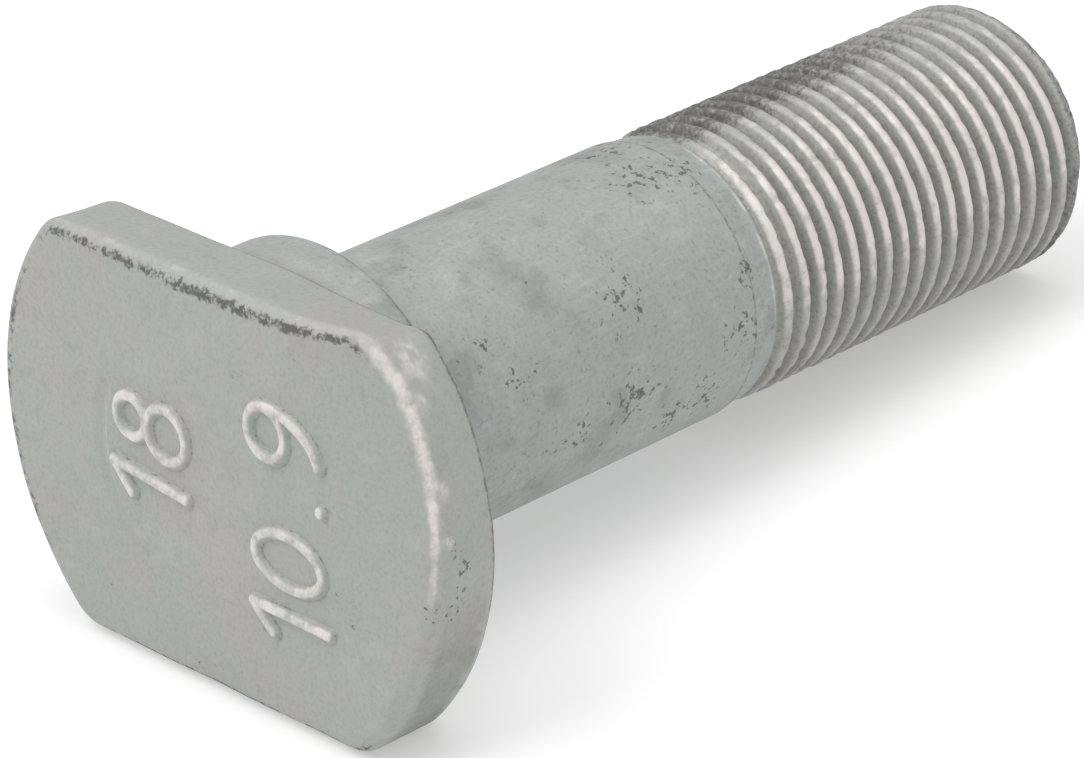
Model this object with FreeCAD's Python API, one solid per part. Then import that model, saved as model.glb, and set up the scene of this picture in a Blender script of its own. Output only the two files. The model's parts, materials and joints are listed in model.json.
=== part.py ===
import FreeCAD, Part

# Ring gear bolt: one forged and rolled piece, in millimetres.
# It is drawn along the X axis with the face of the head at x = 0 and the
# flats of the head facing up and down. At the end it is tilted and lifted
# into the place where it lies by itself on the ground.

import math
import os

# Sizes

head_across_flats = 26.4
head_diameter = 36.5
head_thickness = 6.3
head_corner_radius = 3.0
head_front_rounding = 1.0
head_back_rounding = 1.4

# The forging is not quite centred: the flats sit a little low on the shank.
head_drop = 0.4

collar_diameter = 23.6
collar_thickness = 3.7
collar_rim_rounding = 0.7

shank_diameter = 18.1
shank_length = 26.3
shank_root_rounding = 1.2
shank_end_rounding = 2.0

shoulder_length = 2.3
shoulder_end_diameter = 17.3

# The thread is M18 x 1.5. It stands here as its full outer diameter, with
# the first crest rising over one pitch and a chamfer at the tip.

thread_diameter = 18.0
thread_pitch = 1.5
thread_length = 29.0
tip_chamfer_length = 1.3
tip_chamfer_depth = 1.0

# Places along the axis, from the face of the head to the tip

head_back_x = head_thickness
collar_back_x = head_back_x + collar_thickness
shank_end_x = collar_back_x + shank_length
thread_start_x = shank_end_x + shoulder_length
tip_x = thread_start_x + thread_length
last_full_crest_x = tip_x - tip_chamfer_length
first_full_crest_x = thread_start_x + thread_pitch

upper_flat_z = head_across_flats / 2.0 - head_drop
lower_flat_z = upper_flat_z - head_across_flats
head_radius = head_diameter / 2.0
collar_radius = collar_diameter / 2.0
shank_radius = shank_diameter / 2.0
shoulder_end_radius = shoulder_end_diameter / 2.0
thread_radius = thread_diameter / 2.0

# How near an edge has to be to a place to count as lying there

tolerance = 0.01


def rounded_outline(corners):
    """Closed wire in the XZ plane through (x, z, rounding) corners."""
    trimmed = []
    count = len(corners)
    for index in range(count):
        x, z, rounding = corners[index]
        here = FreeCAD.Vector(x, 0.0, z)
        if rounding == 0.0:
            trimmed.append((here, here, here))
            continue
        before = FreeCAD.Vector(corners[index - 1][0], 0.0, corners[index - 1][1])
        after_corner = corners[(index + 1) % count]
        after = FreeCAD.Vector(after_corner[0], 0.0, after_corner[1])
        back = (before - here).normalize()
        ahead = (after - here).normalize()
        half_angle = back.getAngle(ahead) / 2.0
        reach = rounding / math.tan(half_angle)
        middle = (back + ahead).normalize()
        to_arc = rounding / math.sin(half_angle) - rounding
        trimmed.append((here + back * reach, here + middle * to_arc, here + ahead * reach))
    edges = []
    for index in range(count):
        start, middle, end = trimmed[index]
        if (end - start).Length > 0.0:
            edges.append(Part.Arc(start, middle, end).toShape())
        next_start = trimmed[(index + 1) % count][0]
        edges.append(Part.makeLine(end, next_start))
    return Part.Wire(edges)


def forged_head():
    """Round disc with two flats, its corners and edges rounded."""
    axis = FreeCAD.Vector(1, 0, 0)
    disc = Part.makeCylinder(head_radius, head_thickness, FreeCAD.Vector(0, 0, 0), axis)
    band = Part.makeBox(
        head_thickness,
        head_diameter,
        head_across_flats,
        FreeCAD.Vector(0.0, -head_radius, lower_flat_z),
    )
    head = disc.common(band)
    corners = [
        edge
        for edge in head.Edges
        if edge.BoundBox.XLength > head_thickness / 2.0
        and min(
            abs(edge.CenterOfMass.z - upper_flat_z),
            abs(edge.CenterOfMass.z - lower_flat_z),
        ) < tolerance
    ]
    head = head.makeFillet(head_corner_radius, corners)
    front = [edge for edge in head.Edges if edge.BoundBox.XMax < tolerance]
    head = head.makeFillet(head_front_rounding, front)
    back = [edge for edge in head.Edges if edge.BoundBox.XMin > head_back_x - tolerance]
    return head.makeFillet(head_back_rounding, back)


def turned_body():
    """Collar, shank, shoulder and thread blank, turned about the axis."""
    inside_the_head_x = head_back_x - head_thickness / 2.0
    corners = [
        (inside_the_head_x, 0.0, 0.0),
        (inside_the_head_x, collar_radius, 0.0),
        (collar_back_x, collar_radius, collar_rim_rounding),
        (collar_back_x, shank_radius, shank_root_rounding),
        (shank_end_x, shank_radius, shank_end_rounding),
        (thread_start_x, shoulder_end_radius, 0.0),
        (first_full_crest_x, thread_radius, 0.0),
        (last_full_crest_x, thread_radius, 0.0),
        (tip_x, thread_radius - tip_chamfer_depth, 0.0),
        (tip_x, 0.0, 0.0),
    ]
    face = Part.Face(rounded_outline(corners))
    return face.revolve(FreeCAD.Vector(0, 0, 0), FreeCAD.Vector(1, 0, 0), 360)


def resting_place():
    """Placement on the ground, touching with the head and the last crest.

    The back edge of the lower flat is round, and its round has its middle
    edge_depth below the axis. The line that touches this round and the
    last full crest becomes the ground.
    """
    edge_x = head_back_x - head_back_rounding
    edge_depth = -lower_flat_z - head_back_rounding
    run = last_full_crest_x - edge_x
    rise = edge_depth - thread_radius
    reach = math.hypot(run, rise)
    tilt = math.atan2(rise, run) + math.asin(head_back_rounding / reach)
    turn = FreeCAD.Rotation(FreeCAD.Vector(0, 1, 0), math.degrees(tilt))
    crest = turn.multVec(FreeCAD.Vector(last_full_crest_x, 0.0, -thread_radius))
    return turn, -crest.z


bolt = forged_head().fuse(turned_body()).Solids[0]

rotation, lift = resting_place()
bolt.Placement = FreeCAD.Placement(FreeCAD.Vector(0.0, 0.0, lift), rotation)
box = bolt.optimalBoundingBox(True, False)
bolt.translate(FreeCAD.Vector(-box.Center.x, 0.0, 0.0))

os.makedirs("parts", exist_ok=True)
bolt.exportStep("parts/ring_gear_bolt.step")
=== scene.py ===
import json
import math

import bmesh
import bpy
import numpy as np
from mathutils import Matrix, Vector, noise


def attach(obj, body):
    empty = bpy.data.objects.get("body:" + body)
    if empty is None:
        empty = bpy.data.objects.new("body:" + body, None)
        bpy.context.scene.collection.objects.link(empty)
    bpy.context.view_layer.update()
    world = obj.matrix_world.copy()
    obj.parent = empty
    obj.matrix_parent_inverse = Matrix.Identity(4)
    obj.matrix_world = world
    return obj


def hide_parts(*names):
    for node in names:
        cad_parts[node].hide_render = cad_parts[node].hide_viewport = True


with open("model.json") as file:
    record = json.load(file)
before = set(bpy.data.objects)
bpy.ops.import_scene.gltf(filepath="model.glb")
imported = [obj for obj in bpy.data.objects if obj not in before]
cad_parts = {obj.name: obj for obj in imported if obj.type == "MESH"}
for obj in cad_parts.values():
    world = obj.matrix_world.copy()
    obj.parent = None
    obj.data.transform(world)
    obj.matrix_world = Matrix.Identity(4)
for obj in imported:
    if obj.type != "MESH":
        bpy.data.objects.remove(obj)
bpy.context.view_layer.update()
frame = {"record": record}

# Ring gear bolt. Lengths are given in millimetres and turned into metres
# by mm. The bolt is drawn in its own directions: s runs along the axis from
# the face of the head to the tip, y along the flats of the head, and z
# towards the upper flat. Angles round the axis go from y towards z.

mm = 0.001

# Head, in the sizes of the forging

head_thickness = 6.3 * mm
head_radius = 18.25 * mm
head_corner_radius = 3.0 * mm
head_front_rounding = 1.0 * mm
head_back_rounding = 1.4 * mm

# The forging is uneven. The face falls away towards one corner: the fall is
# full from fall_rise_end to fall_drop_start, in degrees round the axis, and
# starts at fall_inner_share of the head's radius. The upper flat drops
# towards the back, and more so at the end of lesser y. A curve is the power
# that a share is raised to.

fall_depth = 2.0 * mm
fall_rise_start = 120.0
fall_rise_end = 146.0
fall_drop_start = 150.0
fall_drop_end = 212.0
fall_inner_share = 0.55
fall_curve = 1.5
flat_drop = 0.55 * mm
flat_further_drop = 0.45 * mm
flat_reach = 11.7 * mm
flat_drop_curve = 4

# Turned part

collar_radius = 11.8 * mm
collar_rim_rounding = 0.7 * mm
shank_root_rounding = 1.2 * mm
shank_end_rounding = 2.0 * mm
shoulder_length = 2.3 * mm
shoulder_end_radius = 8.65 * mm

# Ridge that rolling leaves on the shoulder: distances from the start of the
# thread, and heights above the shoulder

shoulder_ridge = (
    (0.90 * mm, 0.0), (0.62 * mm, 0.03 * mm), (0.46 * mm, 0.08 * mm), (0.32 * mm, 0.10 * mm),
    (0.20 * mm, 0.06 * mm), (0.08 * mm, -0.04 * mm),
)

# Rolled thread, right-hand. A crest crosses the y direction at crest_phase
# from the face. The profile gives the depth at shares of a pitch from the
# middle of a crest. The grooves start at a share of their depth, over a short
# ramp, and are full after the run-in. A shallow dip goes round the start.

thread_pitch = 1.5 * mm
thread_depth = 0.92 * mm
thread_first_depth_share = 0.4
thread_first_ramp = 0.4 * mm
first_dip = 0.2 * mm
first_dip_width = 0.22 * mm
first_dip_depth = 0.16 * mm
thread_run_in_length = 2.6 * mm
crest_phase = 41.70 * mm
profile_share = (0.0, 0.11, 0.20, 0.26, 0.33, 0.42, 0.5)
profile_depth = (0.0, 0.02, 0.08, 0.26, 0.62, 0.94, 1.0)
tip_chamfer_length = 1.3 * mm
tip_chamfer_depth = 1.0 * mm
tip_dish_depth = 0.15 * mm
tip_dish_rim_share = 1.0 / 3.0

# Fineness of the mesh. Towards the middle of the face and of the tip, columns
# are left out where they would stand nearer together than a share of their
# distance at the edge.

flat_columns = 56
arc_columns = 48
corner_columns = 12
face_rings = 60
rounding_rings = 6
plain_rings = 6
shank_rings = 20
tip_rings = 12
bend_rings = 4
widest_column_step = 16
nearest_column_share = 0.3
weld_distance = 0.0005 * mm
sliver_length = 0.0002 * mm
plane_tolerance = 0.01 * mm

# Unevenness of the forged and coated skin, always inwards. The crests have
# nicks where the noise is above nick_level, and they are deepest near the
# start of the thread.

forged_unevenness = 0.09 * mm
forged_lump = 5.0 * mm
forged_fade_length = 1.0 * mm
turned_unevenness = 0.02 * mm
turned_lump = 1.6 * mm
crest_raggedness = 0.09 * mm
crest_nick = 0.55 * mm
nick_level = 0.45
nick_gain = 2.0
first_raggedness = 1.0
first_ragged_length = 9.0 * mm

# Specks and scratches in the coat: station in mm, angle in degrees and size
# in mm of each group

speck_groups = (
    (26.5, 150.0, 2.0), (17.1, 161.0, 1.4), (25.9, -171.0, 2.0), (33.2, 104.0, 2.4),
    (34.9, 180.0, 1.7), (36.0, 112.0, 1.8), (21.1, -165.5, 1.4), (34.5, 77.0, 2.2),
    (15.1, 144.5, 1.1), (32.2, -154.0, 1.9), (36.1, 160.0, 1.2), (29.5, -150.0, 1.2),
    (1.8, 177.0, 1.0), (2.5, 182.0, 1.1), (2.3, 188.0, 1.2), (0.4, 188.0, 1.0),
    (19.0, 20.0, 1.8), (30.0, -42.0, 2.0), (14.0, -95.0, 1.6), (24.0, 58.0, 1.5),
    (3.0, 12.0, 1.6), (3.6, -8.0, 1.2),
)

# Rubbed places, given in the same way

rubbed_groups = (
    (2.5, 142.0, 2.6), (1.3, 150.0, 1.3), (1.2, 166.0, 1.2), (1.2, 175.0, 1.0),
    (0.3, 143.0, 0.8), (0.3, 149.0, 1.2), (0.3, 156.0, 1.0), (0.3, 164.0, 0.9),
    (0.3, 172.0, 0.9),
)

# Wear, dirt, painted highlights and painted shade round the axis. An arc is four
# angles in degrees: where a mark starts, where it is full, where it begins to fade
# and where it ends.

# The right front edge is worn bright and carries a painted highlight.
right_edge_arc = (128.0, 140.0, 172.0, 214.0)
worn_and_lit_edge_arc = (128.0, 140.0, 160.0, 186.0)
# Crests and the shoulder ridge are brightest in these arcs: painted highlight where they face the
# light.
crest_highlight_arc = (88.0, 145.0, 158.0, 196.0)
ridge_highlight_arc = (60.0, 110.0, 170.0, 210.0)
top_dirt_arc = (35.0, 62.0, 84.0, 122.0)
# Painted shade on the low side of the head and under the thread
side_shade_arc = (182.0, 204.0, 240.0, 256.0)
under_shade_arc = (203.0, 226.0, 320.0, 345.0)

# Wear, dirt and painted highlights along the front edge of the head: station,
# inset from the edge and size, in mm. On the right the edge is worn bright and
# carries a painted highlight, and the glint above the scuffs is a painted
# highlight. The scuffs are densest round scuff_middle.

edge_line = (0.25, 0.35, 0.50)
worn_and_lit_edge = (0.30, 0.40, 0.72)
scuffed_edge = (0.10, 0.80, 0.82)
# The glint above the scuffs is a painted highlight.
painted_glint_edge = (0.65, 0.15, 0.30)
scuff_middle = -2.0 * mm
scuff_reach = 8.0 * mm

# Parts of that edge: the upper and the lower one reach this far from their
# flats and are full near them, and the left one goes by the cosine of the
# angle, from where it starts to where it is full.

upper_edge_reach = 3.5 * mm
lower_edge_reach = 2.5 * mm
full_edge_reach = 0.5 * mm
left_edge_cosines = (0.65, 0.90)

# Rings of wear, dirt and painted shade: distance along the axis from the place
# that each goes by, and size, in mm. The ring at the head's back edge and the one
# in the first dip are painted shade; the one at the back edge stays clear of the
# collar.

ridge_ring = (-0.32, 0.30)
back_edge_shade_ring = (0.80, 0.40)
collar_clearance = 0.2 * mm
collar_rim_ring = (-0.35, 0.30)
shank_end_ring = (0.0, 0.20)
first_dip_shade_ring = (0.0, 0.16)
# Size of the darkening in the corner behind the head: dirt and painted shade
corner_dirt_and_shade_size = 0.5 * mm

# Bright crests, worn and with a painted highlight, lose it within a part of the
# thread's depth, and the finish of the turned part is full this far behind the head.

crest_sharpness = 2.6
turned_rise = 2.0 * mm

# Dirt on the top of the thread fades towards the tip. The last crest and the
# chamfer are dull and dirty. The painted shade on the low side of the head lies
# behind its front edge.

soot_fades_from = 50.0 * mm
soot_fade_length = 14.0 * mm
end_dirt_length = 0.9 * mm
end_dirt_radius = 8.0 * mm
end_dirt_rise = 0.8 * mm
side_shade_start = 0.7 * mm
side_shade_rise = 0.8 * mm
side_shade_inset = 0.5 * mm
side_shade_fade = 1.0 * mm

# Marks pressed into the face: an arc and a faint oval. Angles are in degrees.
# The inner wall of the arc is painted bright, a painted highlight where it faces the light.

pressed_arc_middle = (0.4 * mm, 0.2 * mm)
pressed_arc_radius = 8.7 * mm
pressed_arc_ends = (-46.0, 24.0)
pressed_arc_depth = 0.17 * mm
pressed_oval_middle = (4.1 * mm, -7.05 * mm)
pressed_oval_radii = (1.5 * mm, 1.0 * mm)
pressed_oval_depth = 0.07 * mm
pressed_width = 0.55 * mm
arc_wall_offset = 0.4 * mm
arc_wall_width = 0.45 * mm

# Raised figures on the face. A row starts at a (y, z) place and reads along
# a direction. The shares are of the width of a stroke. The figures are worn
# bright, with a painted highlight on the flanks that face the lit side, given as
# (y, z), less bright on the flanks facing away, and painted shade at the foot.

figure_height = 6.4 * mm
figure_stroke = 0.9 * mm
figure_relief = 0.28 * mm
figure_root = 0.10 * mm
figure_grid = 0.12 * mm
figure_foot_share = 0.68
figure_slope_share = 0.5
figure_cut_share = 0.72
strength_start = (-10.2 * mm, -8.2 * mm)
strength_reading = (-0.02, 1.0)
diameter_start = (1.7 * mm, -3.6 * mm)
diameter_reading = (-0.1, 1.0)
figure_lit_side = (0.8, 0.6)
figure_wear = 0.76
# Painted highlight on the figures' lit flanks
figure_side_highlight = 0.45
# Painted shade at the foot of the figures
figure_foot_shade = 0.85

# Floor, in metres

floor_radius = 1.5
floor_sides = 96

# Camera, at the photograph's angle. Angles are in degrees, and the lens and
# its sensor in millimetres.

aim = Vector((-2.0876, 5.3826, 4.8079)) * mm
camera_distance = 322.695 * mm
camera_azimuth = -131.931
camera_elevation = 28.490
camera_roll = -5.825
sensor_width = 36.0
lens = 172.694
nearest_seen = 0.01

# Lights: place and size in metres, and power in watts. The light from all
# round is studio_glow.

key_light = ((-0.35, 0.15, 0.55), 0.45, 2.6)
fill_light = ((0.22, -0.65, 0.55), 0.6, 1.05)
top_light = ((0.1, -0.1, 0.7), 0.6, 2.3)
studio_glow = 0.37

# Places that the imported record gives. Stations are measured from the face.

mounts = {mount["name"]: mount for mount in frame["record"]["mounts"]}
axis = Vector(mounts["thread"]["axis"]).normalized()
up = Vector(mounts["upper_head_flat"]["axis"]).normalized()
side = up.cross(axis)
shank_middle = Vector(mounts["shank"]["pos_m"])
underside = (Vector(mounts["head_underside"]["pos_m"]) - shank_middle).dot(axis)
face_middle = shank_middle + axis * (underside - head_thickness)


def from_face(name, direction):
    """Distance of a mount from the middle of the head's face."""
    return (Vector(mounts[name]["pos_m"]) - face_middle).dot(direction)


head_back = from_face("head_underside", axis)
side_end = head_back - head_back_rounding
collar_back = from_face("collar_face", axis)
upper_flat = from_face("upper_head_flat", up)
lower_flat = from_face("lower_head_flat", up)
shank_radius = mounts["shank"]["dims"]["r_mm"] * mm
thread_radius = mounts["thread"]["dims"]["r_mm"] * mm
full_thread_length = mounts["thread"]["dims"]["length_mm"] * mm
first_full_crest = from_face("thread", axis) - full_thread_length / 2
last_full_crest = first_full_crest + full_thread_length
thread_start = first_full_crest - thread_pitch
shank_end = thread_start - shoulder_length
tip = last_full_crest + tip_chamfer_length


def ease(value):
    """Smooth step from 0 to 1 over values from 0 to 1."""
    value = np.clip(value, 0.0, 1.0)
    return value * value * (3.0 - 2.0 * value)


def hump(value, start, full, full_end, end):
    """Rises from 0 at start to 1 at full, and falls from full_end to 0 at end."""
    return ease((value - start) / (full - start)) * ease((end - value) / (end - full_end))


def spot(first, second, size):
    """Fades from 1 to 0 as a place leaves the point where both are zero."""
    return np.exp(-((np.hypot(first, second) / size) ** 2))


def most(*values):
    """The greatest of several values at each point."""
    return np.maximum.reduce(values)


def lumps(points, size, seed):
    """Smooth noise of a given lump size at each point, from 0 to 1."""
    offset = Vector((seed, 2.0 * seed, -seed))
    values = [noise.noise(Vector(point) / size + offset) for point in points]
    return np.clip(0.5 + 0.6 * np.array(values), 0.0, 1.0)


# Shape of the bolt


class Skin:
    """Rings of points joined one after the other into one surface."""

    def __init__(self):
        self.rings = []
        self.faces = []
        self.count = 0
        self.last = None

    def add(self, ring):
        """Stores a ring's points and returns their numbers."""
        numbers = np.arange(self.count, self.count + len(ring))
        self.rings.append(ring)
        self.count += len(ring)
        return numbers

    def start(self, middle, ring):
        """Fan from one point out to the first ring."""
        centre = self.add(middle)[0]
        self.last = self.add(ring)
        ahead = np.roll(self.last, -1)
        self.faces += [(centre, b, a) for a, b in zip(self.last, ahead)]

    def grow(self, ring):
        """Joins the last ring to the next, which may have twice or half its points."""
        near = self.last
        far = self.add(ring)
        if len(near) == len(far):
            self.faces += list(zip(near, np.roll(near, -1), np.roll(far, -1), far))
        elif len(near) < len(far):
            middles = far[1::2]
            ends = np.roll(far[0::2], -1)
            ahead = np.roll(near, -1)
            self.faces += list(zip(near, middles, far[0::2]))
            self.faces += list(zip(near, ahead, middles))
            self.faces += list(zip(ahead, ends, middles))
        else:
            middles = near[1::2]
            ends = np.roll(near[0::2], -1)
            ahead = np.roll(far, -1)
            self.faces += list(zip(near[0::2], middles, far))
            self.faces += list(zip(middles, ahead, far))
            self.faces += list(zip(middles, ends, ahead))
        self.last = far

    def finish(self, middle):
        """Fan from the last ring in to one point."""
        centre = self.add(middle)[0]
        ahead = np.roll(self.last, -1)
        self.faces += [(a, b, centre) for a, b in zip(self.last, ahead)]

    def points(self):
        return np.concatenate(self.rings)


def ring(station, across):
    """Points at a station along the axis, or at a station each."""
    stations = np.broadcast_to(station, len(across))
    return np.column_stack([stations, across])


def head_outline():
    """Points round the edge of the head, and the outward directions there."""
    points = []
    outward = []

    def add_arc(centre, radius, start, end, count):
        for angle in np.linspace(start, end, count, endpoint=False):
            direction = np.array([math.cos(angle), math.sin(angle)])
            points.append(np.array(centre) + direction * radius)
            outward.append(direction)

    def add_flat(start, end, level):
        for place in np.linspace(start, end, flat_columns, endpoint=False):
            points.append(np.array([place, level]))
            outward.append(np.array([0.0, math.copysign(1.0, level)]))

    inner = head_radius - head_corner_radius
    high = upper_flat - head_corner_radius
    low = lower_flat + head_corner_radius
    high_reach = math.sqrt(inner**2 - high**2)
    low_reach = math.sqrt(inner**2 - low**2)
    high_angle = math.atan2(high, high_reach)
    low_angle = math.atan2(low, low_reach)
    quarter = math.pi / 2
    half = math.pi
    rounding = head_corner_radius
    add_arc((0, 0), head_radius, low_angle, high_angle, arc_columns)
    add_arc((high_reach, high), rounding, high_angle, quarter, corner_columns)
    add_flat(high_reach, -high_reach, upper_flat)
    add_arc((-high_reach, high), rounding, quarter, half - high_angle, corner_columns)
    add_arc((0, 0), head_radius, half - high_angle, half - low_angle, arc_columns)
    add_arc((-low_reach, low), rounding, half - low_angle, half + quarter, corner_columns)
    add_flat(-low_reach, low_reach, lower_flat)
    add_arc((low_reach, low), rounding, half + quarter, 2 * half + low_angle, corner_columns)
    return np.array(points), np.array(outward)


def columns_skipped(share):
    """Step between the columns of a ring at this share of the way out."""
    step = 1
    while step < widest_column_step and share * step < nearest_column_share:
        step *= 2
    return step


def turned_profile():
    """Stations and radii from the rim of the collar to the shoulder."""
    quarter = math.pi / 2
    profile = []
    rim = collar_rim_rounding
    for turn in np.linspace(0.0, quarter, rounding_rings)[1:]:
        inset = rim * (1.0 - math.cos(turn))
        profile.append((collar_back - rim * (1.0 - math.sin(turn)), collar_radius - inset))
    root = shank_root_rounding
    for radius in np.linspace(collar_radius - rim, shank_radius + root, bend_rings)[1:]:
        profile.append((collar_back, radius))
    for turn in np.linspace(0.0, quarter, rounding_rings)[1:]:
        station = collar_back + root * (1.0 - math.cos(turn))
        profile.append((station, shank_radius + root * (1.0 - math.sin(turn))))
    slope = math.atan2(shank_radius - shoulder_end_radius, shoulder_length)
    bend = shank_end_rounding
    bend_start = shank_end - bend * math.tan(slope / 2)
    for station in np.linspace(collar_back + root, bend_start, shank_rings)[1:]:
        profile.append((station, shank_radius))
    for turn in np.linspace(0.0, slope, bend_rings)[1:]:
        station = bend_start + bend * math.sin(turn)
        profile.append((station, shank_radius - bend * (1.0 - math.cos(turn))))
    slope_at = math.tan(slope)
    ridge_start = thread_start - shoulder_ridge[0][0]
    for station in np.linspace(profile[-1][0], ridge_start, bend_rings)[1:-1]:
        profile.append((station, shoulder_end_radius + (thread_start - station) * slope_at))
    for before, lift in shoulder_ridge:
        profile.append((thread_start - before, shoulder_end_radius + before * slope_at + lift))
    return profile


def pitches_from_crest(station, angle):
    """Pitches to the nearest crest, from -0.5 to 0.5."""
    turns = (station - crest_phase) / thread_pitch - angle / (2.0 * math.pi)
    return turns - np.round(turns)


def crest_radius(station):
    """Radius of the crests, which rise over the first pitch."""
    rise = np.clip((station - thread_start) / thread_pitch, 0.0, 1.0)
    return shoulder_end_radius + (thread_radius - shoulder_end_radius) * rise


def chamfer_radius(station):
    """Radius of the chamfer at the tip, or of the thread ahead of it."""
    slope = tip_chamfer_depth / tip_chamfer_length
    return thread_radius - np.maximum(station - last_full_crest, 0.0) * slope


def thread_surface(station, angle):
    """Radius of the thread, from its run-in to the chamfer at the tip."""
    share = np.abs(pitches_from_crest(station, angle))
    depth = np.interp(share, profile_share, profile_depth) * thread_depth
    run_in = ease((station - thread_start) / thread_run_in_length)
    first = thread_first_depth_share * ease((station - thread_start) / thread_first_ramp)
    radius = crest_radius(station) - depth * (first + (1.0 - first) * run_in)
    radius -= first_dip_depth * spot(station - thread_start - first_dip, 0.0, first_dip_width)
    return np.minimum(radius, chamfer_radius(station))


def grow_thread(skin, circle, around):
    """Rows that follow the helix, cut off square at both ends."""
    shares = sorted(set(profile_share) | {1.0 - share for share in profile_share[1:-1]})
    per_turn = len(shares)
    past_first = (around - around[0]) / (2.0 * math.pi)
    at_first = crest_phase + thread_pitch * around[0] / (2.0 * math.pi)
    first_turn = math.floor((thread_start - at_first) / thread_pitch) - 1
    turns = math.ceil((tip - thread_start) / thread_pitch) + 2
    rows = []
    for turn in range(first_turn, first_turn + turns + 1):
        for share in shares:
            start = at_first + thread_pitch * (turn + share)
            stations = np.clip(start + thread_pitch * past_first, thread_start, tip)
            radii = thread_surface(stations, around)
            rows.append(np.column_stack([stations, circle * radii[:, None]]))
    rows.append(ring(tip, circle * (thread_radius - tip_chamfer_depth)))
    skin.grow(rows[0])
    numbers = [skin.last] + [skin.add(row) for row in rows[1:]]
    last = len(numbers) - 1
    for row in range(last):
        near = np.append(numbers[row], numbers[min(row + per_turn, last)][0])
        far = np.append(numbers[row + 1], numbers[min(row + 1 + per_turn, last)][0])
        skin.faces += list(zip(near[:-1], near[1:], far[1:], far[:-1]))
    skin.last = numbers[last]


def bolt_skin():
    """The whole bolt, from the middle of the face to the middle of the tip.

    Gives the points and the faces.
    """
    edge, outward = head_outline()
    skin = Skin()
    steps = np.linspace(0.0, 1.0, rounding_rings + 1)[1:]

    # Face of the head
    face_edge = edge - outward * head_front_rounding
    shares = np.linspace(0.0, 1.0, face_rings + 1)[1:]
    skin.start(np.zeros((1, 3)), ring(0.0, face_edge[::columns_skipped(shares[0])] * shares[0]))
    for share in shares[1:]:
        skin.grow(ring(0.0, face_edge[::columns_skipped(share)] * share))

    # Front rounding and side
    for turn in steps * math.pi / 2:
        inset = head_front_rounding * (1.0 - math.sin(turn))
        station = head_front_rounding * (1.0 - math.cos(turn))
        skin.grow(ring(station, edge - outward * inset))
    towards_right = ease(-edge[:, 0] / flat_reach)
    on_upper_flat = np.clip(outward[:, 1], 0.0, 1.0) ** flat_drop_curve
    drop = (flat_drop + flat_further_drop * towards_right) * on_upper_flat
    for share in np.linspace(0.0, 1.0, plain_rings + 1)[1:]:
        side_edge = edge - outward * (drop * share)[:, None]
        skin.grow(ring(head_front_rounding + (side_end - head_front_rounding) * share, side_edge))

    # Back rounding. Where the collar stands over it, it ends at the collar.
    depth = np.sum(side_edge * outward, axis=1)
    chord = depth**2 - np.sum(side_edge**2, axis=1) + collar_radius**2
    to_collar = depth - np.sqrt(np.maximum(chord, 0.0))
    widest = np.where(chord > 0.0, np.minimum(to_collar, head_back_rounding), head_back_rounding)
    last_turn = np.arccos(1.0 - widest / head_back_rounding)
    for step in steps:
        inset = head_back_rounding * (1.0 - np.cos(last_turn * step))
        back_edge = side_edge - outward * inset[:, None]
        back_station = side_end + head_back_rounding * np.sin(last_turn * step)
        skin.grow(ring(back_station, back_edge))

    # Back face and collar
    around = np.unwrap(np.arctan2(back_edge[:, 1], back_edge[:, 0]))
    circle = np.column_stack([np.cos(around), np.sin(around)])
    for step in steps:
        skin.grow(ring(back_station, back_edge + (circle * collar_radius - back_edge) * step))
    rim_start = collar_back - collar_rim_rounding
    for step in np.linspace(0.0, 1.0, bend_rings)[1:]:
        skin.grow(ring(back_station + (rim_start - back_station) * step, circle * collar_radius))

    # Collar's rim, shank, shoulder, thread and tip
    for station, radius in turned_profile():
        skin.grow(ring(station, circle * radius))
    grow_thread(skin, circle, around)
    tip_edge = circle * (thread_radius - tip_chamfer_depth)
    for share in np.linspace(1.0, 0.0, tip_rings + 1)[1:-1]:
        dish = tip_dish_depth * ease((1.0 - share) / tip_dish_rim_share)
        skin.grow(ring(tip - dish, tip_edge[::columns_skipped(share)] * share))
    skin.finish(np.array([[tip - tip_dish_depth, 0.0, 0.0]]))
    return skin.points(), skin.faces


# Mesh


def make_mesh(name, points, faces):
    """Mesh from points in the bolt's own directions, without doubled points."""
    directions = np.array([axis, side, up])
    mesh = bpy.data.meshes.new(name)
    mesh.from_pydata((np.array(face_middle) + points @ directions).tolist(), [], faces)
    work = bmesh.new()
    work.from_mesh(mesh)
    bmesh.ops.remove_doubles(work, verts=work.verts, dist=weld_distance)
    bmesh.ops.dissolve_degenerate(work, dist=sliver_length, edges=work.edges)
    for face in work.faces:
        face.smooth = True
    work.to_mesh(mesh)
    work.free()
    return mesh


def own_points(mesh):
    """The mesh's points in the bolt's own directions, and their normals."""
    flat = np.empty(len(mesh.vertices) * 3)
    mesh.vertices.foreach_get("co", flat)
    directions = np.array([axis, side, up])
    points = (flat.reshape(-1, 3) - np.array(face_middle)) @ directions.T
    mesh.vertex_normals.foreach_get("vector", flat)
    return points, flat.reshape(-1, 3)


def write_marks(mesh, marks):
    """Stores the marks at the mesh's points, for the finish to read."""
    for name, values in marks.items():
        layer = mesh.attributes.new(name, "FLOAT", "POINT")
        layer.data.foreach_set("value", values.astype(np.float32))


def move_points(mesh, moves):
    """Moves each point of a mesh by its own vector."""
    flat = np.empty(len(mesh.vertices) * 3)
    mesh.vertices.foreach_get("co", flat)
    mesh.vertices.foreach_set("co", flat + moves.ravel())
    mesh.update()


def set_back(mesh, points):
    """Sets a mesh's points back with the uneven face of the head."""
    move_points(mesh, face_fall(points)[:, None] * np.array(axis))


# Lines on the face, as (y, z) points


def bow(centre, radii, start, end, count):
    """Part of an ellipse as a line of points. Angles are in degrees."""
    angles = np.radians(np.linspace(start, end, count))
    across = centre[0] + radii[0] * np.cos(angles)
    upwards = centre[1] + radii[1] * np.sin(angles)
    return np.column_stack([across, upwards])


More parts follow.
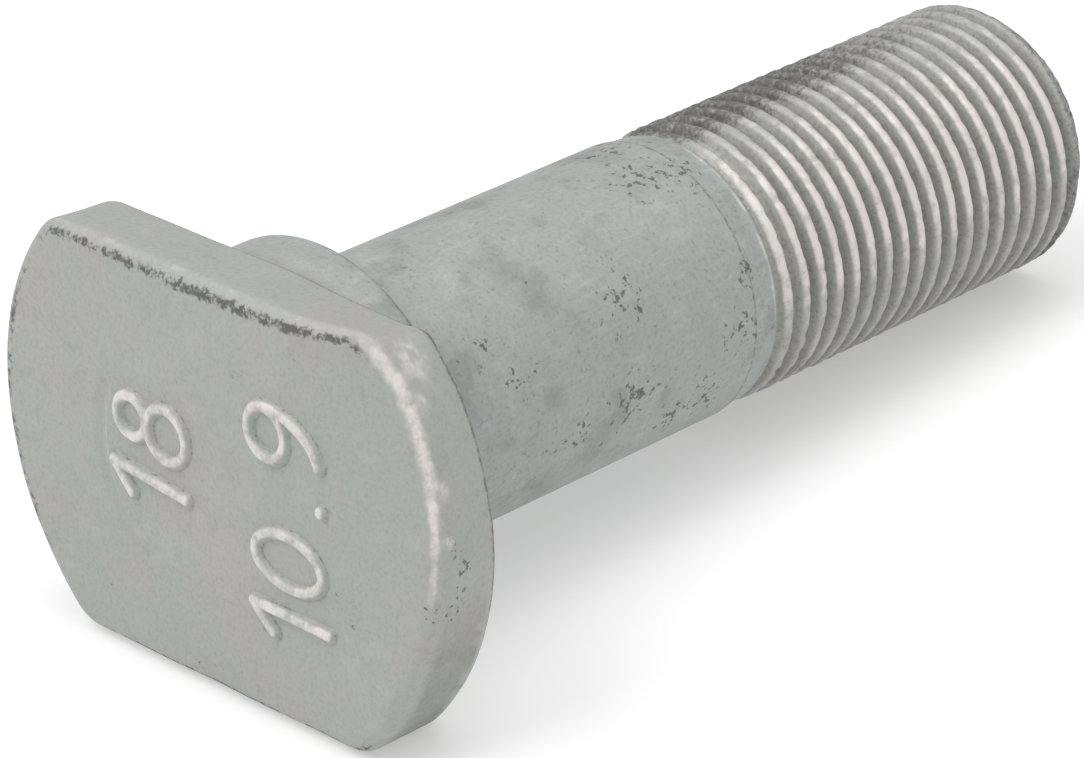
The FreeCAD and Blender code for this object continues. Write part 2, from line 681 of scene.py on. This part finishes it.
def distance_to_lines(places, lines):
    """Distance of each place to the nearest of the lines."""
    nearest = np.full(len(places), np.inf)
    for line in lines:
        for start, end in zip(line[:-1], line[1:]):
            along = end - start
            share = np.clip((places - start) @ along / (along @ along), 0.0, 1.0)
            gap = places - start - share[:, None] * along
            nearest = np.minimum(nearest, np.hypot(gap[:, 0], gap[:, 1]))
    return nearest


def near_line(points, line, width):
    """How near points of the face are to a line on it, from 0 to 1."""
    on_face = points[:, 0] < plane_tolerance
    distance = distance_to_lines(points[on_face][:, 1:], [line])
    nearness = np.zeros(len(points))
    nearness[on_face] = ease(1.0 - distance / width)
    return nearness


def near_arc(points, radius, width):
    """How near points of the face are to the pressed arc, or to one beside it."""
    line = bow(pressed_arc_middle, (radius, radius), *pressed_arc_ends, 24)
    return near_line(points, line, width)


# Unevenness


def face_fall(points):
    """How far along the axis the uneven forging sets each point back."""
    degrees = np.degrees(np.arctan2(points[:, 2], points[:, 1])) % 360.0
    at_edge = fall_depth * hump(
        degrees, fall_rise_start, fall_rise_end, fall_drop_start, fall_drop_end
    )
    out = np.hypot(points[:, 1], points[:, 2]) / head_radius
    share = np.clip((out - fall_inner_share) / (1.0 - fall_inner_share), 0.0, 1.0) ** fall_curve
    ahead = np.clip(1.0 - points[:, 0] / side_end, 0.0, 1.0)
    return at_edge * share * ahead


def pressed_marks(points):
    """Depth of the marks pressed into the face."""
    oval = bow(pressed_oval_middle, pressed_oval_radii, 0.0, 360.0, 24)
    return most(
        pressed_arc_depth * near_arc(points, pressed_arc_radius, pressed_width),
        pressed_oval_depth * near_line(points, oval, pressed_width),
    )


def roughen(mesh, points, normals, groove):
    """Moves each point inwards by the unevenness of forging and rolling."""
    station = points[:, 0]
    forged = 1.0 - ease((station - head_back) / forged_fade_length + 0.5)
    threaded = ease((station - thread_start) / thread_pitch)
    inward = forged_unevenness * forged * lumps(points, forged_lump, seed=3.1)
    inward += turned_unevenness * lumps(points, turned_lump, seed=7.7)
    above_level = lumps(points, crest_nick, seed=11.3) - nick_level
    nicks = np.clip(above_level, 0.0, 1.0) * nick_gain
    at_start = 1.0 - ease((station - thread_start) / first_ragged_length)
    ragged = crest_raggedness * (1.0 + first_raggedness * at_start)
    inward += ragged * threaded * (1.0 - groove) ** 3 * nicks
    inward += pressed_marks(points)
    move_points(mesh, -normals * inward[:, None])


# Places on the skin


def near_marks(points, marks):
    """How near each point is to a mark on the skin, from 0 to 1.

    A mark is its station in mm, its angle in degrees and its size in mm.
    """
    nearness = np.zeros(len(points))
    for station, degrees, size in marks:
        angle = math.radians(degrees)
        radius = head_radius if station * mm < head_back else shank_radius
        middle = (station * mm, radius * math.cos(angle), radius * math.sin(angle))
        distance = np.linalg.norm(points - middle, axis=1)
        nearness = np.maximum(nearness, spot(distance, 0.0, size * mm))
    return nearness


class Places:
    """Where each point of the skin lies on the bolt.

    left, high and low say how far it lies at those parts of the head's edge.
    """

    def __init__(self, points):
        self.points = points
        self.station = points[:, 0]
        self.across = points[:, 1]
        self.height = points[:, 2]
        self.angle = np.arctan2(self.height, self.across)
        self.degrees = np.degrees(self.angle) % 360.0
        self.radius = np.hypot(self.across, self.height)
        highest = np.minimum(crest_radius(self.station), chamfer_radius(self.station))
        self.below_crest = np.clip((highest - self.radius) / thread_depth, 0.0, 1.0)
        self.on_thread = ease((self.station - thread_start) / thread_first_ramp)
        self.at_end = ease((self.station - last_full_crest) / end_dirt_length + 1.0)
        self.inset = head_edge_radius(self.angle) - self.radius
        self.on_head = self.station < side_end
        start, full = left_edge_cosines
        self.left = ease((np.cos(self.angle) - start) / (full - start))
        above = self.height - upper_flat + upper_edge_reach
        self.high = ease(above / (upper_edge_reach - full_edge_reach))
        beneath = lower_flat + lower_edge_reach - self.height
        self.low = ease(beneath / (lower_edge_reach - full_edge_reach))

    def in_arc(self, arc):
        """Is 1 within an arc round the axis and fades to 0 at its ends."""
        return hump(self.degrees, *arc)

    def near_edge(self, line):
        """How near each point is to a line along the front edge of the head."""
        station, inset, size = line
        near = spot(self.station - station * mm, self.inset - inset * mm, size * mm)
        return near * self.on_head

    def near_ring(self, place, ring):
        """How near each point is to a ring round the axis, by a place along it."""
        offset, size = ring
        return spot(self.station - place - offset * mm, 0.0, size * mm)


def head_edge_radius(angle):
    """Distance from the axis to the edge of the head at each angle."""
    edge = head_outline()[0]
    edge_angle = np.unwrap(np.arctan2(edge[:, 1], edge[:, 0]))
    edge_radius = np.hypot(edge[:, 0], edge[:, 1])
    return np.interp(angle, edge_angle, edge_radius, period=2.0 * math.pi)


# Wear, dirt, painted highlights and painted shade. Each mark is a place, and a number for how
# strong it is.


def wear_and_highlight(at):
    """How far the coat is worn bright, with painted highlights where it faces the light."""
    line = at.near_edge(edge_line)
    on_crest = 1.0 - np.minimum(at.below_crest * crest_sharpness, 1.0)
    # crests: worn bright, with a painted highlight in the arc that faces the light
    crests = (0.52 + 0.50 * at.in_arc(crest_highlight_arc)) * on_crest * at.on_thread
    ridge = at.near_ring(thread_start, ridge_ring)
    return most(
        # right front edge: worn bright, with a painted highlight
        0.85 * line * at.in_arc(right_edge_arc),
        0.85 * at.near_edge(worn_and_lit_edge) * at.in_arc(worn_and_lit_edge_arc),
        0.30 * line * at.left,
        # glint above the scuffs on the upper edge: painted highlight
        0.60 * at.near_edge(painted_glint_edge) * at.high,
        0.74 * near_marks(at.points, rubbed_groups),
        # inner wall of the pressed arc: painted highlight
        0.58 * near_arc(at.points, pressed_arc_radius - arc_wall_offset, arc_wall_width),
        # shoulder ridge: worn bright, with a painted highlight where it faces the light
        0.72 * ridge * at.in_arc(ridge_highlight_arc),
        crests * (1.0 - 0.7 * at.at_end),
    )


def scuff(at):
    """How far the front edge of the head is knocked and dirty."""
    band = at.near_edge(scuffed_edge)
    densest = spot(at.across - scuff_middle, 0.0, scuff_reach)
    return most(
        band * at.high * (1.05 + 0.12 * densest),
        0.96 * band * at.left,
        1.20 * at.near_edge(edge_line) * at.low,
    )


def dirt_and_shade(at):
    """Dirt over the thread and the tip and along some edges; painted shade with dirt in the
    corner behind the head, and painted shade along its back edge and in the dip at the start of
    the thread.
    """
    fade = ease((at.station - soot_fades_from) / soot_fade_length)
    over_top = at.in_arc(top_dirt_arc) * (1.0 - 0.35 * fade) * at.on_thread
    # corner behind the head: dirt and painted shade
    corner = spot(at.station - head_back, at.radius - collar_radius, corner_dirt_and_shade_size)
    # ring at the head's back edge: painted shade
    back_edge = at.near_ring(side_end, back_edge_shade_ring)
    rim = at.near_ring(collar_back, collar_rim_ring)
    tip_edge = at.at_end * ease((at.radius - end_dirt_radius) / end_dirt_rise + 1.0)
    return most(
        over_top,
        0.80 * corner,
        back_edge * (at.radius > collar_radius + collar_clearance),
        0.80 * rim * (at.radius > collar_radius - collar_rim_rounding),
        0.85 * at.near_ring(shank_end, shank_end_ring),
        # dip at the start of the thread: painted shade
        0.75 * at.near_ring(thread_start + first_dip, first_dip_shade_ring),
        0.80 * tip_edge,
    )


def low_side_shade(at):
    """Painted shade on the low side of the head and under the thread."""
    behind_front = ease((at.station - side_shade_start) / side_shade_rise)
    on_side = ease((side_shade_inset - at.inset) / side_shade_fade + 1.0) * at.on_head
    return most(
        at.in_arc(side_shade_arc) * behind_front * on_side,
        0.5 * at.in_arc(under_shade_arc) * at.on_thread,
    )


def wear_and_light_marks(points):
    """What the finish needs to know at each point."""
    at = Places(points)
    beside_tip = at.station < tip - plane_tolerance
    return {
        "groove": at.below_crest * at.on_thread * beside_tip,
        "wear_and_highlight": wear_and_highlight(at),
        "scuff": scuff(at),
        "dirt_and_shade": dirt_and_shade(at),
        "low_side_shade": low_side_shade(at),
        "turned": ease((at.station - head_back) / turned_rise) * (1.0 - at.on_thread),
        "threaded": at.on_thread,
        "specked": near_marks(points, speck_groups),
    }


# Raised figures, for the strength and the diameter. Each one is given by its
# width and its strokes, as shares of its height.

figure_shapes = {
    "1": (0.52, [[(0.06, 0.74), (0.30, 1.0), (0.30, 0.0)]]),
    "0": (0.86, [bow((0.33, 0.5), (0.26, 0.44), 0, 360, 28)]),
    "9": (0.86, [
        bow((0.32, 0.72), (0.25, 0.24), 0, 360, 24),
        bow((0.10, 0.66), (0.47, 0.62), 8, -78, 14),
    ]),
    "8": (0.86, [
        bow((0.33, 0.76), (0.20, 0.20), 0, 360, 22),
        bow((0.33, 0.28), (0.26, 0.26), 0, 360, 24),
    ]),
    ".": (0.36, [[(0.12, 0.04), (0.13, 0.05)]]),
}


def figure_lines(row, start, reading):
    """Stroke lines of a row of figures on the face."""
    reading = np.array(reading) / np.hypot(*reading)
    upright = np.array([reading[1], -reading[0]])
    lines = []
    advance = 0.0
    for figure in row:
        width, strokes = figure_shapes[figure]
        for stroke in strokes:
            local = np.array(stroke) * figure_height
            along = (local[:, 0] + advance)[:, None] * reading
            lines.append(np.array(start) + along + local[:, 1][:, None] * upright)
        advance += width * figure_height
    return lines


def closed_faces(kept):
    """Faces of the top and the underside of a grid, and of the wall between.

    The points of the underside are numbered on from those of the top.
    """
    total = kept.size
    number = np.arange(total).reshape(kept.shape)
    cells = kept[:-1, :-1] & kept[1:, :-1] & kept[1:, 1:] & kept[:-1, 1:]
    faces = []
    open_edges = set()
    for i, j in zip(*np.nonzero(cells)):
        a, b = number[i, j], number[i + 1, j]
        c, d = number[i + 1, j + 1], number[i, j + 1]
        faces.append((a, d, c, b))
        faces.append((a + total, b + total, c + total, d + total))
        for edge in ((a, d), (d, c), (c, b), (b, a)):
            if edge[::-1] in open_edges:
                open_edges.remove(edge[::-1])
            else:
                open_edges.add(edge)
    return faces + [(b, a, a + total, b + total) for a, b in sorted(open_edges)]


def relief(lines):
    """Soft raised strokes with closed undersides sunk into the face.

    Gives the points, the faces and how far each point is raised, from 0 to 1.
    """
    every = np.concatenate(lines)
    low = every.min(axis=0) - figure_stroke
    high = every.max(axis=0) + figure_stroke
    ys = np.arange(low[0], high[0], figure_grid)
    zs = np.arange(low[1], high[1], figure_grid)
    grid_y, grid_z = np.meshgrid(ys, zs, indexing="ij")
    places = np.column_stack([grid_y.ravel(), grid_z.ravel()])
    distance = distance_to_lines(places, lines)
    rise = ease((figure_foot_share - distance / figure_stroke) / figure_slope_share)
    height = rise * (figure_relief + figure_root) - figure_root
    kept = (distance < figure_cut_share * figure_stroke).reshape(grid_y.shape)
    top = np.column_stack([-height, places])
    bottom = np.column_stack([np.full(len(places), 2.0 * figure_root), places])
    faces = closed_faces(kept)
    used = sorted({point for face in faces for point in face})
    renumber = {old: new for new, old in enumerate(used)}
    points = np.concatenate([top, bottom])[used]
    raised = np.concatenate([rise, np.zeros(len(places))])[used]
    return points, [tuple(renumber[point] for point in face) for face in faces], raised


# Finish


class Wire:
    """A shader socket that takes part in Python arithmetic."""

    def __init__(self, finish, socket):
        self.finish = finish
        self.socket = socket

    def math(self, operation, first, second):
        settings = {"operation": operation}
        return self.finish.node("ShaderNodeMath", settings, {0: first, 1: second})

    def __add__(self, other):
        return self.math("ADD", self, other)

    __radd__ = __add__

    def __mul__(self, other):
        return self.math("MULTIPLY", self, other)

    __rmul__ = __mul__

    def __sub__(self, other):
        return self.math("SUBTRACT", self, other)

    def __rsub__(self, other):
        return self.math("SUBTRACT", other, self)


class Finish:
    """A material and what is needed to wire it up."""

    def __init__(self, name):
        self.material = bpy.data.materials.new(name)
        self.material.use_nodes = True
        self.tree = self.material.node_tree
        self.tree.nodes.clear()

    def node(self, kind, settings, sockets, result=0):
        """Adds a node: first its settings, then its values and links."""
        node = self.tree.nodes.new(kind)
        for name, value in settings.items():
            setattr(node, name, value)
        for key, value in sockets.items():
            if isinstance(value, Wire):
                self.tree.links.new(value.socket, node.inputs[key])
            else:
                node.inputs[key].default_value = value
        return Wire(self, node.outputs[result]) if node.outputs else None

    def lumps(self, where, size, detail, roughness, shift=0.0):
        """Noise with lumps of a size in metres, about 0.3 to 0.7."""
        moved = self.node(
            "ShaderNodeVectorMath",
            {"operation": "ADD"},
            {0: where, 1: (shift, shift * 0.7, -shift)},
        )
        return self.node(
            "ShaderNodeTexNoise",
            {"noise_dimensions": "3D"},
            {"Vector": moved, "Scale": 1.0 / size, "Detail": detail, "Roughness": roughness},
        )

    def step(self, value, low, high):
        """Smooth change from 0 to 1 as value goes from low to high."""
        return self.node(
            "ShaderNodeMapRange",
            {"interpolation_type": "SMOOTHSTEP"},
            {"Value": value, "From Min": low, "From Max": high},
        )

    def mix(self, factor, first, second):
        """Colour between first and second."""
        return self.node(
            "ShaderNodeMix",
            {"data_type": "RGBA"},
            {0: factor, 6: first, 7: second},
            result=2,
        )

    def mark(self, name):
        """A value stored at the mesh's points."""
        return self.node("ShaderNodeAttribute", {"attribute_name": name}, {}, result=2)


def linear(value):
    """Amount of light for a screen value from 0 to 255."""
    share = value / 255.0
    return share / 12.92 if share <= 0.04045 else ((share + 0.055) / 1.055) ** 2.4


def shade(red, green, blue):
    """Colour from screen values from 0 to 255."""
    return (linear(red), linear(green), linear(blue), 1.0)


def zinc_coat():
    """Matte zinc coat, blotched and speckled, with wear, dirt, painted highlights and painted
    shade.
    """
    finish = Finish("zinc_coat")
    where = finish.node("ShaderNodeTexCoord", {}, {}, result=3)
    groove = finish.mark("groove")
    wear_and_highlight = finish.mark("wear_and_highlight")
    scuff = finish.mark("scuff")
    dirt_and_shade = finish.mark("dirt_and_shade")
    low_side_shade = finish.mark("low_side_shade")
    turned = finish.mark("turned")
    threaded = finish.mark("threaded")
    specked = finish.mark("specked")

    cloud = finish.lumps(where, 6.0 * mm, 3.0, 0.6)
    blotch = finish.lumps(where, 1.7 * mm, 3.0, 0.6, shift=0.03)
    grain = finish.lumps(where, 0.28 * mm, 3.0, 0.65, shift=0.05)
    fleck = finish.lumps(where, 0.55 * mm, 2.0, 0.7, shift=0.09)
    patch = finish.lumps(where, 3.4 * mm, 2.0, 0.5, shift=0.13)
    lengthwise = finish.node(
        "ShaderNodeVectorMath",
        {"operation": "MULTIPLY"},
        {0: where, 1: (0.22, 1.0, 1.0)},
    )
    streak = finish.lumps(lengthwise, 0.5 * mm, 3.0, 0.6, shift=0.17)

    green_grey = shade(166, 171, 165)
    pink_grey = shade(172, 170, 166)
    cool_grey = shade(162, 168, 164)
    pale = shade(190, 192, 188)
    dark = shade(86, 86, 82)
    soil_and_shade = shade(82, 79, 76)
    bare_and_highlight = shade(228, 222, 217)

    # Coat: clouds of two greys, cooler on the turned part, with pale blotches
    colour = finish.mix(finish.step(cloud, 0.36, 0.68), green_grey, pink_grey)
    colour = finish.mix(turned * 0.8, colour, cool_grey)
    colour = finish.mix(threaded * 0.6, colour, pink_grey)
    colour = finish.mix(finish.step(blotch, 0.5, 0.75) * (0.2 + turned * 0.25), colour, pale)
    colour = finish.mix(finish.step(streak, 0.52, 0.72) * turned * 0.3, colour, pale)

    # Smudges, dust, grain and the painted shade on the low side and under the thread
    smudge = finish.step(patch * 0.6 + blotch * 0.4, 0.50, 0.66)
    colour = finish.mix(smudge * (0.06 + turned * 0.20), colour, dark)
    dust = finish.step(grain * 0.6 + fleck * 0.4, 0.58, 0.66)
    colour = finish.mix(dust * turned * 0.25, colour, dark)
    colour = finish.mix(finish.step(grain, 0.42, 0.72) * (0.16 + threaded * 0.14), colour, dark)
    # painted shade on the low side of the head and under the thread
    colour = finish.mix(low_side_shade * (patch * 0.45 + fleck * 0.20), colour, dark)

    # Specks, knocked edges, painted shade in the thread valleys, bright wear with painted
    # highlights, and dirt with painted shade
    speckled = finish.step(patch + specked * 0.5, 0.58, 0.70)
    specks = finish.step(fleck + specked * 0.13, 0.66, 0.73) * speckled
    colour = finish.mix(specks * 0.8, colour, dark)
    clumps = fleck * 1.4 + blotch * 0.7 + grain - 0.52
    scuffed = finish.step(scuff * clumps, 0.84, 1.24)
    colour = finish.mix(scuffed * 0.85, colour, soil_and_shade)
    # painted shade: thread valleys darkened by their depth
    valley_shade = finish.step(groove + (grain - 0.5) * 0.8, 0.35, 0.95)
    colour = finish.mix(valley_shade * 0.16, colour, dark)
    # bright wear and painted highlights, in bare metal colour
    bright = finish.step(wear_and_highlight * (blotch * 1.3 + fleck * 0.8 + (grain - 0.5) * 0.6), 0.42, 1.05)
    colour = finish.mix(bright * 0.9, colour, bare_and_highlight)
    # dirt and painted shade
    dirt_and_shade_mask = finish.step(dirt_and_shade * (grain + fleck * 0.8 + streak * 0.4), 0.58, 1.22)
    colour = finish.mix(dirt_and_shade_mask * 0.82, colour, soil_and_shade)

    # Surface
    height = cloud * 0.4 + blotch * 0.4 + grain * (0.25 + threaded * 0.35) - specks * 0.5
    bump = finish.node(
        "ShaderNodeBump",
        {},
        {"Strength": 0.5, "Distance": 0.05 * mm, "Height": height},
    )
    surface = finish.node(
        "ShaderNodeBsdfPrincipled",
        {},
        {
            "Base Color": colour,
            "Metallic": 0.22 + bright * 0.10,
            "Roughness": 0.60 + grain * 0.12 - bright * 0.08,
            "Normal": bump,
        },
    )
    finish.node("ShaderNodeOutputMaterial", {}, {"Surface": surface})
    return finish.material


def glowing_pale_floor():
    """Pale matte studio floor that glows evenly, a glow that lightens its shadows."""
    finish = Finish("glowing_pale_floor")
    surface = finish.node(
        "ShaderNodeBsdfPrincipled",
        {},
        {
            "Base Color": (0.68, 0.68, 0.68, 1.0),
            "Roughness": 0.9,
            "Specular IOR Level": 0.2,
            # even glow of the floor: painted light that lightens its shadows
            "Emission Color": (1.0, 1.0, 1.0, 1.0),
            "Emission Strength": 0.34,
        },
    )
    finish.node("ShaderNodeOutputMaterial", {}, {"Surface": surface})
    return finish.material


def show(name, mesh, material):
    """Puts a mesh in the scene."""
    mesh.materials.append(material)
    piece = bpy.data.objects.new(name, mesh)
    bpy.context.scene.collection.objects.link(piece)
    return piece


# Pieces


def bolt_mesh():
    """The bolt with its wear, dirt, painted highlights and painted shade, its unevenness and its
    falling face.
    """
    mesh = make_mesh("bolt", *bolt_skin())
    points, normals = own_points(mesh)
    marks = wear_and_light_marks(points)
    write_marks(mesh, marks)
    roughen(mesh, points, normals, marks["groove"])
    set_back(mesh, points)
    return mesh


def figure_mesh():
    """The strength and the diameter in raised figures on the falling face."""
    strength_lines = figure_lines("10.9", strength_start, strength_reading)
    diameter_lines = figure_lines("18", diameter_start, diameter_reading)
    drawn, faces, raised = relief(strength_lines + diameter_lines)
    mesh = make_mesh("figures", drawn, faces)
    points, normals = own_points(mesh)
    # painted shade at the foot of the figures
    foot = 1.0 - ease(np.abs(points[:, 0]) / (0.5 * figure_relief))
    across, upwards = figure_lit_side
    # painted highlight on flanks facing the lit side, less bright on flanks facing away
    facing_light = normals @ np.array(side * across + up * upwards)
    worn_and_lit = raised * (figure_wear + figure_side_highlight * facing_light)
    write_marks(mesh, {"wear_and_highlight": worn_and_lit, "dirt_and_shade": figure_foot_shade * foot})
    set_back(mesh, points)
    return mesh


def floor_mesh():
    """Round plate under the bolt."""
    mesh = bpy.data.meshes.new("floor")
    work = bmesh.new()
    bmesh.ops.create_circle(work, cap_ends=True, segments=floor_sides, radius=floor_radius)
    work.to_mesh(mesh)
    work.free()
    return mesh


coat = zinc_coat()

bolt = show("coated_bolt", bolt_mesh(), coat)
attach(bolt, "root")
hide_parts("ring_gear_bolt")

figures = show("raised_figures", figure_mesh(), coat)
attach(figures, "root")

floor = show("studio_floor", floor_mesh(), glowing_pale_floor())

# Camera

azimuth = math.radians(camera_azimuth)
elevation = math.radians(camera_elevation)
roll = math.radians(camera_roll)
towards = Vector((
    math.cos(elevation) * math.cos(azimuth),
    math.cos(elevation) * math.sin(azimuth),
    math.sin(elevation),
))
level_right = Vector((0.0, 0.0, 1.0)).cross(towards).normalized()
level_up = towards.cross(level_right)
camera_right = level_right * math.cos(roll) + level_up * math.sin(roll)
camera_up = towards.cross(camera_right)
camera_data = bpy.data.cameras.new("camera")
camera_data.sensor_fit = "HORIZONTAL"
camera_data.sensor_width = sensor_width
camera_data.lens = lens
camera_data.clip_start = nearest_seen
camera = bpy.data.objects.new("camera", camera_data)
bpy.context.scene.collection.objects.link(camera)
turn = Matrix((camera_right, camera_up, towards)).transposed().to_4x4()
camera.matrix_world = Matrix.Translation(aim + towards * camera_distance) @ turn
bpy.context.scene.camera = camera

# Light


def soft_light(name, place, size, power):
    """Square light that shines at the bolt."""
    data = bpy.data.lights.new(name, "AREA")
    data.shape = "SQUARE"
    data.size = size
    data.energy = power
    light = bpy.data.objects.new(name, data)
    light.location = place
    light.rotation_euler = (-Vector(place)).to_track_quat("-Z", "Y").to_euler()
    bpy.context.scene.collection.objects.link(light)


soft_light("key_light", *key_light)
soft_light("fill_light", *fill_light)
soft_light("top_light", *top_light)

world = bpy.data.worlds.new("studio")
world.use_nodes = True
background = world.node_tree.nodes["Background"]
background.inputs["Color"].default_value = (1.0, 1.0, 1.0, 1.0)
background.inputs["Strength"].default_value = studio_glow
bpy.context.scene.world = world
bpy.context.scene.view_settings.view_transform = "Standard"
